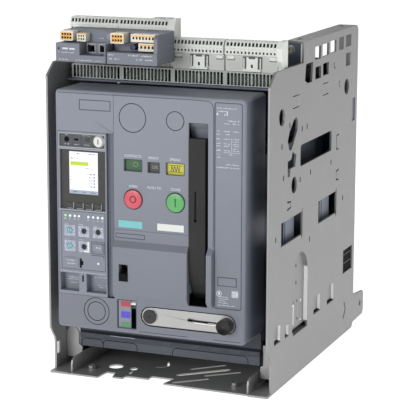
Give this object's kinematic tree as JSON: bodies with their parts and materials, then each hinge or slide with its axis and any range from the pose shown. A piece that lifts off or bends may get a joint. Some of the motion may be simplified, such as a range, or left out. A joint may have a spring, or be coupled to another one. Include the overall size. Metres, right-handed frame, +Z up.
{
  "type": "air circuit breaker",
  "caption": "Withdrawable three-pole air circuit breaker in its guide frame, with trip unit, push buttons, charging handle, racking crank and auxiliary terminal blocks.",
  "frame": {"origin": "centre of the footprint of the whole object, on the surface it stands on", "axes": "+X to the viewer's right, +Y into the switchboard, +Z up"},
  "size_m": [0.32, 0.476, 0.4895],
  "materials": {
    "galvanised_steel": "matt zinc-coated sheet",
    "bright_steel": "brushed stainless",
    "plated_copper": "silver-plated copper",
    "cover_grey": "fine moulded grain",
    "dark_grey": "moulded",
    "black": "moulded, satin",
    "light_grey": "moulded",
    "housing": "moulded thermoset",
    "red": "satin",
    "green": "satin",
    "yellow": "satin",
    "white": "satin",
    "teal": "satin"
  },
  "bodies": {
    "guide_frame": {"side_plate_right": "galvanised_steel", "side_plate_left": "galvanised_steel", "base_tray": "galvanised_steel", "rear_wall": "dark_grey", "upper_main_terminal_1": "plated_copper", "upper_main_terminal_2": "plated_copper", "upper_main_terminal_3": "plated_copper", "lower_main_terminal_1": "plated_copper", "lower_main_terminal_2": "plated_copper", "lower_main_terminal_3": "plated_copper", "top_cross_rail": "dark_grey", "contact_comb": "light_grey", "terminal_block_1": "light_grey", "terminal_block_2": "light_grey", "terminal_block_3": "light_grey", "terminal_block_4": "light_grey", "communication_module_left": "cover_grey", "communication_module_right": "cover_grey"},
    "guide_rails": {"rail_right": "galvanised_steel", "rail_left": "galvanised_steel"},
    "breaker": {"front_cover": "cover_grey", "base_plinth": "dark_grey", "pole_housing": "housing", "arc_chute_1": "housing", "arc_chute_2": "housing", "arc_chute_3": "housing", "upper_stab_1": "plated_copper", "upper_stab_2": "plated_copper", "upper_stab_3": "plated_copper", "lower_stab_1": "plated_copper", "lower_stab_2": "plated_copper", "lower_stab_3": "plated_copper", "charging_motor": "black", "closing_coil": "black", "opening_coil": "black", "trip_unit": "cover_grey"},
    "shutter_upper": {"shutter_upper": "light_grey"},
    "shutter_lower": {"shutter_lower": "light_grey"},
    "open_button": {"open_button": "red"},
    "close_button": {"close_button": "green"},
    "charging_handle": {"charging_handle": "black"},
    "crank": {"crank_arm": "bright_steel"},
    "crank_grip": {"crank_grip": "black"},
    "main_shaft": {"main_shaft": "bright_steel"},
    "moving_contacts": {"moving_contact_1": "plated_copper", "moving_contact_2": "plated_copper", "moving_contact_3": "plated_copper"},
    "racking_screw": {"racking_screw": "bright_steel"},
    "crank_gate": {"crank_gate": "black"},
    "position_pointer": {"position_pointer": "white"},
    "contact_flag": {"contact_flag": "green"},
    "ready_flag": {"ready_flag": "black"},
    "spring_flag": {"spring_flag": "yellow"},
    "key_lock": {"key_lock": "bright_steel"},
    "query_button": {"query_button": "cover_grey"},
    "setting_dial_1": {"setting_dial_1": "teal"},
    "setting_dial_2": {"setting_dial_2": "black"},
    "setting_dial_3": {"setting_dial_3": "black"},
    "setting_dial_4": {"setting_dial_4": "teal"},
    "setting_dial_5": {"setting_dial_5": "black"}
  },
  "joints": [
    {"name": "rails_extend", "type": "slide", "parent": "guide_frame", "child": "guide_rails", "axis": [0, -1, 0], "range_m": [0, 0.26]},
    {"name": "racking_travel", "type": "slide", "parent": "guide_rails", "child": "breaker", "axis": [0, -1, 0], "range_m": [0, 0.088]},
    {"name": "shutter_upper_drop", "type": "slide", "parent": "guide_frame", "child": "shutter_upper", "axis": [0, 0, -1], "range_m": [0, 0.062]},
    {"name": "shutter_lower_rise", "type": "slide", "parent": "guide_frame", "child": "shutter_lower", "axis": [0, 0, 1], "range_m": [0, 0.062]},
    {"name": "racking_screw_turn", "type": "hinge", "parent": "breaker", "child": "racking_screw", "pos_m": [-0.0345, -0.123, 0.166], "axis": [0, 1, 0], "range_deg": [0, 7925]},
    {"name": "position_pointer_travel", "type": "slide", "parent": "breaker", "child": "position_pointer", "axis": [0, 0, -1], "range_m": [0, 0.03]},
    {"name": "crank_gate_lift", "type": "slide", "parent": "breaker", "child": "crank_gate", "axis": [0, 0, 1], "range_m": [0, 0.011]},
    {"name": "crank_pull_out", "type": "slide", "parent": "breaker", "child": "crank", "axis": [0, -1, 0], "range_m": [0, 0.06]},
    {"name": "crank_grip_spin", "type": "hinge", "parent": "crank", "child": "crank_grip", "pos_m": [0.11, -0.233, 0.1015], "axis": [0, 1, 0], "continuous": true},
    {"name": "charging_handle_pull", "type": "hinge", "parent": "breaker", "child": "charging_handle", "pos_m": [0.069, -0.206, 0.145], "axis": [1, 0, 0], "range_deg": [0, 75], "stiffness_Nm_per_rad": 0.6, "springref_deg": -11.46},
    {"name": "open_button_press", "type": "slide", "parent": "breaker", "child": "open_button", "axis": [0, 1, 0], "range_m": [0, 0.004], "stiffness_N_per_m": 700, "springref_m": -0.002},
    {"name": "close_button_press", "type": "slide", "parent": "breaker", "child": "close_button", "axis": [0, 1, 0], "range_m": [0, 0.004], "stiffness_N_per_m": 700, "springref_m": -0.002},
    {"name": "main_shaft_turn", "type": "hinge", "parent": "breaker", "child": "main_shaft", "pos_m": [0, -0.038, 0.23], "axis": [1, 0, 0], "range_deg": [0, 40]},
    {"name": "contacts_close", "type": "hinge", "parent": "breaker", "child": "moving_contacts", "pos_m": [0, 0.033, 0.19], "axis": [-1, 0, 0], "range_deg": [0, 20]},
    {"name": "contact_flag_travel", "type": "slide", "parent": "breaker", "child": "contact_flag", "axis": [0, 0, -1], "range_m": [0, 0.016]},
    {"name": "ready_flag_travel", "type": "slide", "parent": "breaker", "child": "ready_flag", "axis": [0, 0, -1], "range_m": [0, 0.013]},
    {"name": "spring_flag_travel", "type": "slide", "parent": "breaker", "child": "spring_flag", "axis": [0, 0, -1], "range_m": [0, 0.016]},
    {"name": "key_lock_turn", "type": "hinge", "parent": "breaker", "child": "key_lock", "pos_m": [-0.072, -0.223, 0.334], "axis": [0, 1, 0], "range_deg": [0, 90]},
    {"name": "query_button_press", "type": "slide", "parent": "breaker", "child": "query_button", "axis": [0, 1, 0], "range_m": [0, 0.0015], "stiffness_N_per_m": 400, "springref_m": -0.002},
    {"name": "setting_dial_1_turn", "type": "hinge", "parent": "breaker", "child": "setting_dial_1", "pos_m": [-0.116, -0.223, 0.211], "axis": [0, 1, 0], "range_deg": [-140, 140]},
    {"name": "setting_dial_2_turn", "type": "hinge", "parent": "breaker", "child": "setting_dial_2", "pos_m": [-0.095, -0.223, 0.211], "axis": [0, 1, 0], "range_deg": [-140, 140]},
    {"name": "setting_dial_3_turn", "type": "hinge", "parent": "breaker", "child": "setting_dial_3", "pos_m": [-0.074, -0.223, 0.211], "axis": [0, 1, 0], "range_deg": [-140, 140]},
    {"name": "setting_dial_4_turn", "type": "hinge", "parent": "breaker", "child": "setting_dial_4", "pos_m": [-0.116, -0.223, 0.1895], "axis": [0, 1, 0], "range_deg": [-140, 140]},
    {"name": "setting_dial_5_turn", "type": "hinge", "parent": "breaker", "child": "setting_dial_5", "pos_m": [-0.095, -0.223, 0.1895], "axis": [0, 1, 0], "range_deg": [-140, 140]}
  ],
  "couplings": [
    {"joint": "shutter_upper_drop", "follows": "racking_travel", "ratio": 0.7},
    {"joint": "shutter_lower_rise", "follows": "racking_travel", "ratio": 0.7},
    {"joint": "racking_screw_turn", "follows": "racking_travel", "rad_per_m": 1570.8},
    {"joint": "position_pointer_travel", "follows": "racking_travel", "ratio": 0.34},
    {"joint": "contacts_close", "follows": "main_shaft_turn", "ratio": 0.5},
    {"joint": "contact_flag_travel", "follows": "main_shaft_turn", "m_per_rad": 0.0229}
  ]
}
